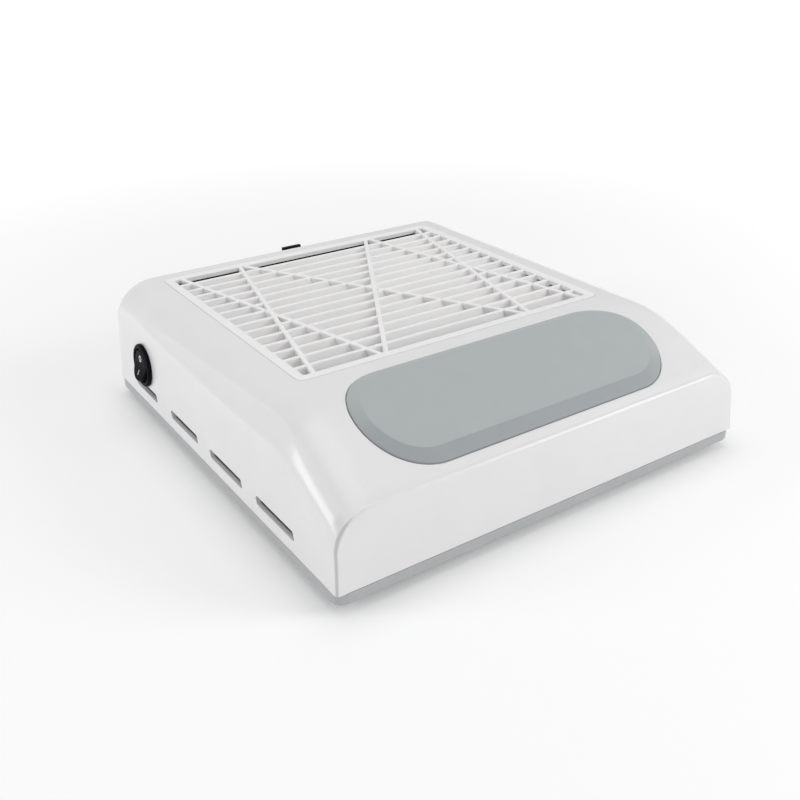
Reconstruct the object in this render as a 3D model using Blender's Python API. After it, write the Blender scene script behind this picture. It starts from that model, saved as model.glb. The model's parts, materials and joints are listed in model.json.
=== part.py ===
"""Nail dust collector: a desk-top suction box with a sloping hand rest.

Lengths in this file are millimetres; the helpers turn them into metres.
X runs to the right, the front (hand rest) faces -Y, Z is up from the desk.
Shapes are written about the plan centre of the casing. The empty "chassis"
carries everything, and moves it so that the world's origin lies under the
middle of the whole object, switch and pull tab included.
"""
import math

import bmesh
import bpy
from mathutils import Matrix, Vector

MM = 0.001
GAP = 0.3                     # between pieces that touch

# Casing
WIDTH, DEPTH = 230.0, 240.0
FOOT_H = 5.0                  # desk to the underside of the base
STRIP_TOP = 10.0              # top of the visible grey strip
TOP = 65.0                    # flat top
WALL = 2.2
FLOOR_T = 2.0
FLOOR_TOP = FOOT_H + FLOOR_T
DRAFT = 0.06                  # how far the walls lean in per mm of height
BASE_CORNER_R = 5.5           # corners in plan
FRONT_EDGE_R, REAR_EDGE_R = 2.2, 3.0
FRONT_LEAN = 0.075
ROOF_FLAT_Y = -60.25          # the flat top ends here and falls to the front
ROOF_CURVE, ROOF_EASE = 0.011655, 0.00009135
CREASE_Y = -117.5             # top edge of the front face

# Grille and filter
GRILLE_X = 83.0
GRILLE_Y0, GRILLE_Y1 = -43.0, 102.5
BAR_COUNT = 14
BAR_T, BAR_DEEP, BAR_LEAN = 2.0, 7.0, 3.0
SKIRT_T, SKIRT_Z = 1.8, 62.6
SEAM = 5.0                    # panel rim beyond the opening
LEDGE_Z = 63.4
CASSETTE_X = 84.0
CASSETTE_Z0, CASSETTE_Z1 = 45.4, 56.6
CASSETTE_Y0, CASSETTE_Y1 = -42.0, 114.3
FASCIA_Z1 = 60.4
FASCIA_Y = 117.0
TAB_Y1, TAB_TOP = 124.0, 63.6
TAB_HALF = 6.0

# Hand rest
PAD_Y, PAD_R, PAD_ARC_X = -85.0, 26.5, 56.0
PAD_PROUD, PAD_BELOW = 2.0, 1.0
PAD_BEVEL, PAD_EDGE_DROP = 5.0, 1.4

# Side vents and switch
VENTS = ((-86.3, -51.9), (-38.3, -3.9), (10.0, 43.6), (62.4, 92.6))
VENT_Z0, VENT_Z1 = 16.0, 20.2
SWITCH_Y, SWITCH_Z = 78.1, 31.9
SWITCH_HOLE_R, BEZEL_R, BEZEL_PROUD = 9.9, 11.5, 2.1
POCKET_R = 9.15
ROCKER_TILT = 11.0            # each way from level, in degrees
PIVOT_OUT = 0.9               # pivot, outward from the wall
INLET_X, INLET_Z = 78.0, 24.0 # power inlet, in the rear wall

# Fan
FAN_Y = 30.0
DECK_Z = 41.3
DECK_T = 2.0
INLET_R = 44.6                # the fan's round intake
DECK_X, DECK_Y0, DECK_Y1 = 97.0, -46.0, 108.0
IMPELLER_R, HUB_R, BLADE_Z0, BLADE_Z1 = 60.0, 27.0, 16.0, 38.0
BLADE_COUNT = 11
MOTOR_R, MOTOR_Z0, MOTOR_Z1 = 22.0, 11.6, 27.0
SHAFT_R = 2.0
POST_XS, POST_YS = (-92.0, 92.0), (-38.0, 100.0)
SCREW_XS, SCREW_YS = (-102.0, 102.0), (-98.0, 106.0)
FOOT_XS, FOOT_YS = (-86.0, 86.0), (-88.0, 88.0)

SWITCH_OUT = 4.2              # how far the rocker stands out beyond the base
CENTRE = Vector((SWITCH_OUT / 2, -(TAB_Y1 - DEPTH / 2) / 2, 0)) * MM

COLOURS = {                   # base colour, roughness, metallic
    "white_gloss": ((0.80, 0.79, 0.78), 0.25, 0.0),
    "white_satin": ((0.78, 0.77, 0.74), 0.45, 0.0),
    "grey_base": ((0.36, 0.37, 0.38), 0.50, 0.0),
    "grey_pad": ((0.43, 0.46, 0.46), 0.60, 0.0),
    "black_plastic": ((0.012, 0.012, 0.013), 0.35, 0.0),
    "black_rubber": ((0.02, 0.02, 0.02), 0.80, 0.0),
    "filter_paper": ((0.85, 0.84, 0.80), 0.90, 0.0),
    "foam": ((0.10, 0.10, 0.11), 0.95, 0.0),
    "steel": ((0.55, 0.56, 0.57), 0.30, 1.0),
    "brass": ((0.70, 0.52, 0.22), 0.35, 1.0),
    "copper": ((0.60, 0.28, 0.14), 0.40, 1.0),
    "board": ((0.03, 0.16, 0.07), 0.50, 0.0),
}


# ---------------------------------------------------------------- helpers

def clear_scene():
    for thing in list(bpy.data.objects):
        bpy.data.objects.remove(thing, do_unlink=True)


def material(name):
    found = bpy.data.materials.get(name)
    if found:
        return found
    colour, roughness, metallic = COLOURS[name]
    made = bpy.data.materials.new(name)
    made.use_nodes = True
    shader = made.node_tree.nodes["Principled BSDF"]
    shader.inputs["Base Color"].default_value = (*colour, 1.0)
    shader.inputs["Roughness"].default_value = roughness
    shader.inputs["Metallic"].default_value = metallic
    made.diffuse_color = (*colour, 1.0)
    return made


def empty(name, location=(0, 0, 0), parent=None, rotation=None):
    made = bpy.data.objects.new(name, None)
    bpy.context.collection.objects.link(made)
    made.parent = parent
    made.location = Vector(location) * MM
    if rotation is not None:
        made.rotation_euler = rotation.to_euler()
    return made


def piece(name, shape, finish, parent, location=(0, 0, 0), sharp=35):
    """An object from (vertices, faces) in mm about its own location."""
    verts, faces = shape
    mesh = bpy.data.meshes.new(name)
    work = bmesh.new()
    made = [work.verts.new(Vector(v) * MM) for v in verts]
    for face in faces:
        work.faces.new([made[i] for i in face])
    bmesh.ops.recalc_face_normals(work, faces=work.faces)
    work.to_mesh(mesh)
    work.free()
    mesh.shade_smooth()
    mesh.set_sharp_from_angle(angle=math.radians(sharp))
    thing = bpy.data.objects.new(name, mesh)
    bpy.context.collection.objects.link(thing)
    thing.data.materials.append(material(finish))
    thing.parent = parent
    thing.location = Vector(location) * MM
    return thing


def tool(target, shape, operation, location=(0, 0, 0), rotation=None):
    """Cut a shape out of the target, or join or intersect it."""
    name = f"{target.name}_{operation.lower()}_{len(target.modifiers)}"
    cutter = piece(name, shape, "white_satin", target.parent, location)
    if rotation is not None:
        cutter.rotation_euler = rotation.to_euler()
    cutter.hide_render = True
    cutter.display_type = "WIRE"
    change = target.modifiers.new(operation.title(), "BOOLEAN")
    change.operation = operation
    change.object = cutter
    change.solver = "EXACT"


def cut(target, shape, **where):
    tool(target, shape, "DIFFERENCE", **where)


def join(target, shape, **where):
    tool(target, shape, "UNION", **where)


def several(*shapes):
    """Shapes that don't touch, as one shape."""
    verts, faces = [], []
    for more_verts, more_faces in shapes:
        start = len(verts)
        verts += list(more_verts)
        faces += [[i + start for i in face] for face in more_faces]
    return verts, faces


def loft(rings, closed=False, caps=True):
    """Skin rings of equal length; open ends are capped with flat faces."""
    n, verts, faces = len(rings[0]), [], []
    for ring in rings:
        verts += list(ring)
    for k in range(len(rings) if closed else len(rings) - 1):
        a, b = k * n, (k + 1) % len(rings) * n
        for i in range(n):
            j = (i + 1) % n
            faces.append([a + i, a + j, b + j, b + i])
    if caps and not closed:
        faces += [list(range(n)), list(range((len(rings) - 1) * n, len(rings) * n))]
    return verts, faces


def box(x0, x1, y0, y1, z0, z1):
    corners = ((x0, y0), (x1, y0), (x1, y1), (x0, y1))
    return loft([[(x, y, z) for x, y in corners] for z in (z0, z1)])


def prism(outline, z0, z1):
    return loft([[(x, y, z) for x, y in outline] for z in (z0, z1)])


def circle(radius, count, x=0.0, y=0.0, start=0.0, sweep=2 * math.pi):
    whole = abs(sweep - 2 * math.pi) < 1e-6
    steps = count if whole else count - 1
    angles = (start + sweep * i / steps for i in range(count))
    return [(x + radius * math.cos(a), y + radius * math.sin(a)) for a in angles]


def rounded(half_x, half_y, radius, count=4):
    """A rectangle about the origin with round corners."""
    outline = []
    for k, (sx, sy) in enumerate(((1, 1), (-1, 1), (-1, -1), (1, -1))):
        outline += circle(radius, count, sx * (half_x - radius), sy * (half_y - radius),
                          k * math.pi / 2, math.pi / 2)
    return outline


def disc(radius, z0, z1, count=24, x=0.0, y=0.0):
    return prism(circle(radius, count, x, y), z0, z1)


def turned(profile, count=32, x=0.0, y=0.0):
    """Turn a closed (r, z) profile, all off the axis, about the Z line at x, y."""
    rings = []
    for k in range(count):
        a = 2 * math.pi * k / count
        rings.append([(x + r * math.cos(a), y + r * math.sin(a), z) for r, z in profile])
    return loft(rings, closed=True)


def tube(inner, outer, z0, z1, count=32, x=0.0, y=0.0):
    return turned(((inner, z0), (outer, z0), (outer, z1), (inner, z1)), count, x, y)


# ---------------------------------------------------------------- casing

def roof(y):
    fall = max(0.0, ROOF_FLAT_Y - y)
    return TOP - ROOF_CURVE * fall ** 2 + ROOF_EASE * fall ** 3


def half_width(z):
    return WIDTH / 2 - DRAFT * (z - STRIP_TOP)


def front_y(z):
    return -DEPTH / 2 + FRONT_LEAN * (z - STRIP_TOP)


def rear_y(z):
    return DEPTH / 2 - DRAFT * (z - STRIP_TOP)


def casing_outline(y, inset, bottom):
    """Half outline (x, z) up the right wall and over the shoulder to the roof."""
    along = min(1.0, max(0.0, (ROOF_FLAT_Y - y) / (ROOF_FLAT_Y - CREASE_Y)))
    rx, rz = 22.0 - 4.0 * along - inset, 20.0 - 3.0 * along - inset
    top = roof(y) - inset
    spring = half_width(top - rz) - inset
    points = [(half_width(bottom) - inset, bottom)]
    for k in range(7):
        a = math.pi / 2 * k / 6
        points.append((spring - rx + rx * math.cos(a), top - rz + rz * math.sin(a)))
    return points


def casing_form(inset, bottom):
    """The casing's outer form, or its inner one when inset by the wall."""
    rear_r, front_r = (max(r - inset, 0.3) for r in (REAR_EDGE_R, FRONT_EDGE_R))
    ys = [ROOF_FLAT_Y, -68.0, -78.0, -90.0, -104.0]
    rings = []

    def ring(y, place, shrink=0.0):
        half = casing_outline(y, inset, bottom)
        top = half[-1][1]
        half = [(x - shrink, z - shrink * (z - bottom) / (top - bottom)) for x, z in half]
        whole = half + [(-x, z) for x, z in reversed(half)]
        return [(x, place(z), z) for x, z in whole]

    for k in range(4):                            # round rear edges
        a = math.pi / 2 * k / 3
        back = inset + rear_r * (1 - math.cos(a))
        rings.append(ring(100.0, lambda z, b=back: rear_y(z) - b, rear_r * (1 - math.sin(a))))
    rings += [ring(y, lambda z, y=y: y) for y in ys]
    for k in range(4):                            # round front edges
        a = math.pi / 2 * k / 3
        back = inset + front_r * (1 - math.sin(a))
        rings.append(ring(CREASE_Y, lambda z, b=back: front_y(z) + b,
                          front_r * (1 - math.cos(a))))
    return loft(rings)


def pad_slab(levels):
    """The hand rest's stadium from (grow, lift) rings that follow the roof."""
    steps, rings = 20, []
    for grow, lift in levels:
        radius, half = PAD_R + grow, []
        for k in range(steps + 1):
            a = -math.pi / 2 + math.pi * k / steps
            x, y = PAD_ARC_X + radius * math.cos(a), PAD_Y + radius * math.sin(a)
            half.append((x, y, roof(y) + lift))
        rings.append(half + [(-x, y, z) for x, y, z in reversed(half)])
    verts, faces = loft(rings, caps=False)
    n = 2 * (steps + 1)
    for start in (0, len(verts) - n):
        for k in range(steps):
            faces.append([start + k, start + k + 1, start + n - 2 - k, start + n - 1 - k])
    return verts, faces


def vent_shape(y0, y1):
    """A side vent's outline (y, z): a slot with leaning round ends."""
    r, lean = 1.5, 0.4
    outline = []
    for k, (sy, sz) in enumerate(((1, 1), (-1, 1), (-1, -1), (1, -1))):
        mid_y = (y0 + y1) / 2 + sy * ((y1 - y0) / 2 - r - lean) + sz * lean
        mid_z = (VENT_Z0 + VENT_Z1) / 2 + sz * ((VENT_Z1 - VENT_Z0) / 2 - r)
        outline += circle(r, 3, mid_y, mid_z, k * math.pi / 2, math.pi / 2)
    return outline


def switch_frame(parent):
    """An empty on the left wall whose Z points out of the wall."""
    lean = math.atan(DRAFT)
    out = Vector((-math.cos(lean), 0, math.sin(lean)))
    up = Vector((math.sin(lean), 0, math.cos(lean)))
    turn = Matrix((up.cross(out), up, out)).transposed()
    place = (-half_width(SWITCH_Z), SWITCH_Y, SWITCH_Z)
    return empty("switch_frame", place, parent, turn), turn, place


def add_housing(root, switch_turn, switch_place):
    housing = piece("top_housing", casing_form(0.0, STRIP_TOP + GAP), "white_gloss", root)
    cut(housing, casing_form(WALL, 0.0))
    join(housing, several(*[disc(4.0, 16.0, roof(y) - 7.0, 16, x, y)
                            for x in SCREW_XS for y in SCREW_YS]))
    cut(housing, several(*[disc(1.5, 15.0, 30.0, 10, x, y) for x in SCREW_XS for y in SCREW_YS]))
    rim_x, mid = GRILLE_X + SEAM, (GRILLE_Y0 + GRILLE_Y1) / 2
    rim_y = (GRILLE_Y1 - GRILLE_Y0) / 2 + SEAM
    cut(housing, prism(rounded(rim_x, rim_y, 4.0), LEDGE_Z, 70.0), location=(0, mid, 0))
    cut(housing, prism(rounded(rim_x - 2.2, rim_y - 2.2, 2.0), 60.0, 70.0), location=(0, mid, 0))
    cut(housing, pad_slab(((GAP, -PAD_BELOW - GAP), (GAP, 8.0))))
    vents = [[[(x, y, z) for y, z in vent_shape(*ends)] for x in (-125.0, 125.0)]
             for ends in VENTS]
    cut(housing, several(*[loft(v) for v in vents]))
    cut(housing, disc(SWITCH_HOLE_R, -8.0, 8.0), location=switch_place, rotation=switch_turn)
    cut(housing, box(-CASSETTE_X - 0.8, CASSETTE_X + 0.8, 108.5, 125.0,
                     CASSETTE_Z0 - 0.8, FASCIA_Z1 + 0.6))
    cut(housing, box(INLET_X - 10.5, INLET_X + 10.5, 105.0, 125.0, INLET_Z - 6.5, INLET_Z + 6.5))
    return housing


def add_base(root):
    outline = rounded(WIDTH / 2, DEPTH / 2, BASE_CORNER_R)
    base = piece("base_shell", prism(outline, FOOT_H, STRIP_TOP), "grey_base", root)
    inset = WALL + GAP
    lip_top = STRIP_TOP + 4.0
    join(base, prism(rounded(WIDTH / 2 - inset - 0.3, DEPTH / 2 - inset - 0.6, 3.0),
                     FOOT_H + 1.0, lip_top))
    wall = inset + 2.2
    cut(base, prism(rounded(WIDTH / 2 - wall, DEPTH / 2 - wall, 2.0), FLOOR_TOP, 30.0))
    join(base, several(*[disc(4.0, FLOOR_TOP - 1.0, DECK_Z - GAP, 12, x, y)
                         for x in POST_XS for y in POST_YS]))
    join(base, several(*[disc(4.6, FLOOR_TOP - 1.0, 15.6, 16, x, y)
                         for x in SCREW_XS for y in SCREW_YS]))
    join(base, several(*[disc(4.0, FLOOR_TOP - 1.0, MOTOR_Z0 - 2.4, 12, x, y)
                         for x, y in motor_screw_places()]))
    cut(base, several(*[disc(1.5, 20.0, 50.0, 10, x, y) for x in POST_XS for y in POST_YS]))
    cut(base, several(*[disc(3.4, 0.0, 8.4, 16, x, y) for x in SCREW_XS for y in SCREW_YS]))
    cut(base, several(*[disc(1.9, 8.0, 20.0, 12, x, y) for x in SCREW_XS for y in SCREW_YS]))
    cut(base, several(*[disc(2.6, 0.0, 12.0, 12, x, y) for x in FOOT_XS for y in FOOT_YS]))
    return base


def add_feet(root):
    shape = turned(((0.6, 0.0), (6.5, 0.0), (7.5, FOOT_H - GAP), (2.2, FOOT_H - GAP),
                    (2.2, FLOOR_TOP + 0.6), (0.6, FLOOR_TOP + 0.6)), 20)
    for x, side in zip(FOOT_XS, ("left", "right")):
        for y, end in zip(FOOT_YS, ("front", "rear")):
            piece(f"foot_{end}_{side}", shape, "black_rubber", root, (x, y, 0))


def screw(head_r, head_h, shank_r, length, count=12):
    """A screw along +Z from its head's outer face at z = 0, with a round recess."""
    return turned(((0.5, 0.9), (0.9, 0.0), (head_r, 0.0), (head_r, head_h),
                   (shank_r, head_h), (shank_r, length), (0.5, length)), count)


def add_housing_screws(root):
    shape = screw(3.0, 2.0, 1.2, 17.0)
    for x, side in zip(SCREW_XS, ("left", "right")):
        for y, end in zip(SCREW_YS, ("front", "rear")):
            piece(f"housing_screw_{end}_{side}", shape, "steel", root, (x, y, 6.1))


def add_hand_rest(root):
    levels = ((0.0, -PAD_BELOW), (0.0, PAD_PROUD - PAD_EDGE_DROP), (-PAD_BEVEL, PAD_PROUD))
    piece("hand_rest_pad", pad_slab(levels), "grey_pad", root)


# ---------------------------------------------------------------- grille

def grille_ribs(direction):
    """Three parallel diagonal ribs, one for each X, from front to rear."""
    spans = ((-78.3, -43.3), (-41.0, 41.0), (44.0, 79.0))
    y0, y1, half = GRILLE_Y0 - 1.0, GRILLE_Y1 + 1.0, 1.2
    ribs = []
    for x0, x1 in spans:
        start, end = (x0, x1) if direction > 0 else (x1, x0)
        slope = Vector((end - start, y1 - y0)).normalized()
        side = half / slope.y
        outline = ((start - side, y0), (start + side, y0), (end + side, y1), (end - side, y1))
        ribs.append(prism(outline, TOP - BAR_DEEP + 0.6, TOP - 0.2 - 0.1 * (direction > 0)))
    return several(*ribs)


def add_grille(root):
    mid = (GRILLE_Y0 + GRILLE_Y1) / 2
    half_y = (GRILLE_Y1 - GRILLE_Y0) / 2
    rim = [(x, y + mid) for x, y in rounded(GRILLE_X + SEAM - GAP, half_y + SEAM - GAP, 3.7)]
    grille = piece("grille_panel", prism(rim, LEDGE_Z + GAP, TOP), "white_satin", root)
    skirt = rounded(GRILLE_X + SKIRT_T, half_y + SKIRT_T, 1.8)
    join(grille, prism([(x, y + mid) for x, y in skirt], SKIRT_Z, TOP - 0.5))
    cut(grille, box(-GRILLE_X, GRILLE_X, GRILLE_Y0, GRILLE_Y1, 40.0, 80.0))
    pitch = (GRILLE_Y1 - GRILLE_Y0 + BAR_T) / (BAR_COUNT + 1)
    bars = []
    for k in range(BAR_COUNT):
        y, low, high = GRILLE_Y0 - BAR_T + pitch * (k + 1), TOP - BAR_DEEP + 0.3, TOP - 0.1
        section = ((y, high), (y + BAR_T, high), (y + BAR_T - BAR_LEAN, low), (y - BAR_LEAN, low))
        bars.append(loft([[(x, py, pz) for py, pz in section]
                          for x in (-GRILLE_X - 1.0, GRILLE_X + 1.0)]))
    join(grille, several(*bars))
    join(grille, grille_ribs(1))
    join(grille, grille_ribs(-1))


# ---------------------------------------------------------------- filter

def add_filter(root):
    cassette = empty("filter_cassette", (0, CASSETTE_Y0, CASSETTE_Z0), root)
    long = CASSETTE_Y1 - CASSETTE_Y0
    high = CASSETTE_Z1 - CASSETTE_Z0
    frame = piece("filter_frame", box(-CASSETTE_X, CASSETTE_X, 0, long, 0, high), "black_plastic",
                  cassette)
    join(frame, box(-CASSETTE_X + 0.2, CASSETTE_X - 0.2, long - 1.0, FASCIA_Y - CASSETTE_Y0,
                    0.2, FASCIA_Z1 - CASSETTE_Z0))
    rim = 4.0
    cut(frame, box(-CASSETTE_X + rim, CASSETTE_X - rim, rim, long - rim, 1.6, high + 5))
    cut(frame, box(-CASSETTE_X + rim + 2, CASSETTE_X - rim - 2, rim + 2, long - rim - 2, -5, 5))

    pleats, thick = 14, 0.8
    x0, x1 = -CASSETTE_X + rim + 0.4, CASSETTE_X - rim - 0.4
    low, peak = 2.0, high - 1.2
    ups = [(x0 + (x1 - x0) * k / pleats / 2, peak if k % 2 else low) for k in range(2 * pleats + 1)]
    outline = [(x, z + thick) for x, z in ups] + [(x, z) for x, z in reversed(ups)]
    y0, y1 = rim + 0.4, long - rim - 0.4
    piece("filter_media", loft([[(x, y, z) for x, z in outline] for y in (y0, y1)]),
          "filter_paper", cassette, sharp=20)

    band = 2.4
    gasket = piece("filter_gasket", box(-CASSETTE_X + 0.6, CASSETTE_X - 0.6, 0.6, long - 3.6,
                                        high + GAP, high + GAP + 0.8), "foam", cassette)
    cut(gasket, box(-CASSETTE_X + 0.6 + band, CASSETTE_X - 0.6 - band, 0.6 + band,
                    long - 3.6 - band, high - 5, high + 9))

    out = TAB_Y1 - CASSETTE_Y0
    face = FASCIA_Y - CASSETTE_Y0 + GAP
    z0, z1, lip = 55.5 - CASSETTE_Z0, 58.5 - CASSETTE_Z0, TAB_TOP - CASSETTE_Z0
    side = ((face, z0), (out - 1.0, z0), (out, z0 + 1.0), (out, lip), (out - 2.2, lip),
            (out - 2.6, z1), (face, z1))
    tab = loft([[(x, y, z) for y, z in side] for x in (-TAB_HALF, TAB_HALF)])
    piece("filter_pull_tab", tab, "black_plastic", cassette)


def add_filter_rails(root):
    z0 = DECK_Z + DECK_T + GAP
    for side, name in ((-1, "left"), (1, "right")):
        outline = ((78.5, z0), (87.0, z0), (87.0, CASSETTE_Z1), (84.5, CASSETTE_Z1),
                   (84.5, z0 + 1.4), (78.5, z0 + 1.4))
        rail = loft([[(side * x, y, z) for x, z in outline] for y in (CASSETTE_Y0 - 2, 107.0)])
        piece(f"filter_rail_{name}", rail, "white_satin", root)


# ---------------------------------------------------------------- fan

def add_deck(root):
    mid = (DECK_Y0 + DECK_Y1) / 2
    outline = [(x, y + mid) for x, y in rounded(DECK_X, (DECK_Y1 - DECK_Y0) / 2, 5.0)]
    deck = piece("fan_deck", prism(outline, DECK_Z, DECK_Z + DECK_T), "black_plastic", root)
    cut(deck, disc(INLET_R + 1.0, 0, 80, 36, 0, FAN_Y))
    join(deck, turned(((INLET_R, DECK_Z - 2.0), (INLET_R + 1.4, DECK_Z - 2.0),
                       (INLET_R + 3.0, DECK_Z + 0.5), (INLET_R + 3.0, DECK_Z + 1.5),
                       (INLET_R, DECK_Z + 1.5)), 40, 0, FAN_Y))
    cut(deck, several(*[disc(1.6, 30, 50, 10, x, y) for x in POST_XS for y in POST_YS]))
    shape = screw(2.8, 1.8, 1.2, 12.0)
    flip = Matrix.Rotation(math.pi, 3, "X")
    for x, side in zip(POST_XS, ("left", "right")):
        for y, end in zip(POST_YS, ("front", "rear")):
            made = piece(f"deck_screw_{end}_{side}", shape, "steel", root,
                         (x, y, DECK_Z + DECK_T + GAP + 1.8))
            made.rotation_euler = flip.to_euler()


def add_air_guides(root):
    """Two curved walls that turn the fan's air towards the side vents."""
    z0, z1 = FLOOR_TOP + GAP, DECK_Z - GAP
    for name, start in (("rear", 35.0), ("front", 215.0)):
        a, sweep = math.radians(start), math.radians(110.0)
        outer = circle(69.5, 14, 0, FAN_Y, a, sweep)
        inner = circle(67.5, 14, 0, FAN_Y, a, sweep)
        piece(f"air_guide_{name}", prism(outer + list(reversed(inner)), z0, z1),
              "black_plastic", root)


def blade(turn):
    """One backward-curved blade as a closed strip, from the hub to the rim."""
    steps, lines = 5, ([], [])
    for k in range(steps + 1):
        share = k / steps
        r = HUB_R - 0.5 + (IMPELLER_R - 1.0 - HUB_R + 0.5) * share
        a = turn - 0.75 * share ** 1.2
        half = 0.7 / r
        lines[0].append((r * math.cos(a + half), r * math.sin(a + half)))
        lines[1].append((r * math.cos(a - half), r * math.sin(a - half)))
    return prism(lines[0] + list(reversed(lines[1])), BLADE_Z0 + 0.6, BLADE_Z1)


def add_rotor(root):
    rotor = empty("rotor", (0, FAN_Y, 0), root)
    cup_top = MOTOR_Z1 + 4.6
    profile = ((SHAFT_R + 0.05, cup_top - 1.8), (HUB_R - 1.8, cup_top - 1.8),
               (HUB_R - 1.8, BLADE_Z0), (IMPELLER_R, BLADE_Z0), (IMPELLER_R, BLADE_Z0 + 1.4),
               (HUB_R, BLADE_Z0 + 1.4), (HUB_R, cup_top - 2.0), (HUB_R - 2.0, cup_top),
               (6.0, cup_top), (5.0, cup_top + 4.0), (SHAFT_R + 0.05, cup_top + 4.0))
    wheel = piece("impeller", turned(profile, 33), "black_plastic", rotor)
    join(wheel, several(*[blade(2 * math.pi * k / BLADE_COUNT) for k in range(BLADE_COUNT)]))
    join(wheel, turned(((47.0, BLADE_Z1 - 1.0), (IMPELLER_R - 0.4, BLADE_Z1 - 2.2),
                        (IMPELLER_R - 0.4, BLADE_Z1 - 0.8), (47.0, BLADE_Z1 + 0.4)), 44))
    nut_top = cup_top + 4.0 + GAP
    hexagon = circle(4.0, 6)
    nut = piece("impeller_nut", prism(hexagon, nut_top, nut_top + 3.2), "brass", rotor)
    cut(nut, disc(SHAFT_R + 0.3, 0, 80, 16))
    piece("motor_shaft", disc(SHAFT_R - 0.2, MOTOR_Z0 + 2.8, nut_top + 4.4, 16), "steel", rotor)
    piece("motor_armature", tube(SHAFT_R + 0.1, 12.0, MOTOR_Z0 + 5.2, MOTOR_Z1 - 4.6, 20),
          "steel", rotor)
    return rotor


def motor_screw_places():
    return [(x, FAN_Y + y) for x, y in circle(30.0, 3, start=math.pi / 6)]


def add_motor(root):
    low, high = MOTOR_Z0, MOTOR_Z1
    can = ((1.0, low), (MOTOR_R, low), (MOTOR_R, high), (MOTOR_R - 1.4, high),
           (MOTOR_R - 1.4, low + 1.6), (8.2, low + 1.6), (8.2, low + 4.4), (6.2, low + 4.4),
           (6.2, low + 1.6), (1.0, low + 1.6))
    piece("motor_can", turned(can, 32, 0, FAN_Y), "steel", root)
    piece("motor_stator", tube(12.8, MOTOR_R - 1.8, low + 5.0, high - 4.4, 24, 0, FAN_Y),
          "copper", root)
    cap = ((6.3, high + GAP), (MOTOR_R, high + GAP), (MOTOR_R, high + 1.5), (6.3, high + 1.5))
    cover = piece("motor_end_cap", turned(cap, 32, 0, FAN_Y), "steel", root)
    join(cover, turned(((6.3, high - 3.2), (8.0, high - 3.2), (8.0, high + 1.0), (6.3, high + 1.0)),
                       32, 0, FAN_Y))
    for name, z in (("lower", low + 1.9), ("upper", high - 2.4)):
        piece(f"motor_bearing_{name}", tube(SHAFT_R + 0.1, 5.9, z, z + 2.4, 20, 0, FAN_Y),
              "brass", root)
    plate_z = low - 2.1
    outline = []
    for k in range(3):
        a = math.pi / 6 + k * 2 * math.pi / 3
        outline += circle(5.0, 5, 30.0 * math.cos(a), 30.0 * math.sin(a), a - math.pi / 2, math.pi)
        outline += circle(19.0, 3, 0, 0, a + math.radians(40), math.radians(40))
    mount = piece("motor_mount_plate", prism(outline, plate_z, plate_z + 1.8), "steel", root,
                  (0, FAN_Y, 0))
    cut(mount, several(*[disc(1.6, 0, 30, 10, x, y - FAN_Y) for x, y in motor_screw_places()]),
        location=(0, FAN_Y, 0))


def add_switch(root, frame):
    body = ((POCKET_R, BEZEL_PROUD), (POCKET_R, -7.0), (0.8, -7.0), (0.8, -9.5), (9.5, -9.5),
            (9.5, GAP), (BEZEL_R, GAP), (BEZEL_R, BEZEL_PROUD - 0.8), (BEZEL_R - 0.8, BEZEL_PROUD))
    piece("switch_body", turned(body, 32), "black_plastic", frame)
    level = math.tan(math.radians(ROCKER_TILT))
    end, mid = 8.1, 1.2
    side = ((end, mid + end * level), (8.5, 0.0), (7.9, -2.8), (4.6, -4.6), (-4.6, -4.6),
            (-7.9, -2.8), (-8.5, 0.0), (-end, mid + end * level), (0.0, mid))
    rocker = piece("rocker", loft([[(x, y, z) for y, z in side] for x in (-8.4, 8.4)]),
                   "black_plastic", frame, (0, 0, PIVOT_OUT))
    tilt = Matrix.Rotation(math.radians(-ROCKER_TILT), 3, "X")
    rocker.rotation_euler = tilt.to_euler()
    tool(rocker, disc(8.6, -10, 10, 28), "INTERSECT", location=(0, 0, PIVOT_OUT), rotation=tilt)
    lie = Matrix.Rotation(math.pi / 2, 3, "Y")
    cut(rocker, disc(1.1, -12, 12, 12), location=(0, 0, PIVOT_OUT), rotation=lie)
    pin = piece("rocker_pin", disc(0.8, -8.8, 8.8, 10), "steel", frame, (0, 0, PIVOT_OUT))
    pin.rotation_euler = lie.to_euler()
    for name, y in (("upper", 4.0), ("lower", -4.0)):
        piece(f"switch_terminal_{name}", box(-2.4, 2.4, y - 0.4, y + 0.4, -17.0, -9.8), "brass",
              frame)


def add_inlet(root):
    """A two-pin appliance inlet in the rear wall."""
    x, z = INLET_X, INLET_Z
    y1 = rear_y(z)
    outline = [(x + px, z + pz) for px, pz in rounded(10.0, 6.0, 2.0, 3)]
    flange = [(x + px, z + pz) for px, pz in rounded(12.5, 8.2, 2.5, 3)]
    inlet = piece("power_inlet", loft([[(px, y, pz) for px, pz in outline]
                                       for y in (y1 - 20.0, y1 + 1.0)]), "black_plastic", root)
    join(inlet, loft([[(px, y, pz) for px, pz in flange] for y in (y1 + 0.5, y1 + 2.2)]))
    recess = [(x + px, z + pz) for px, pz in rounded(8.2, 4.2, 3.4, 4)]
    cut(inlet, loft([[(px, y, pz) for px, pz in recess] for y in (y1 - 13.0, y1 + 9.0)]))
    holes = [loft([[(px, y, pz) for px, pz in circle(1.5, 10, x + side * 4.3, z)]
                   for y in (y1 - 30.0, y1)]) for side in (-1, 1)]
    cut(inlet, several(*holes))
    for side, name in ((-1, "left"), (1, "right")):
        pin = [[(px, y, pz) for px, pz in circle(1.15, 10, x + side * 4.3, z)]
               for y in (y1 - 24.0, y1 - 3.5)]
        piece(f"inlet_pin_{name}", loft(pin), "brass", root)


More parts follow.
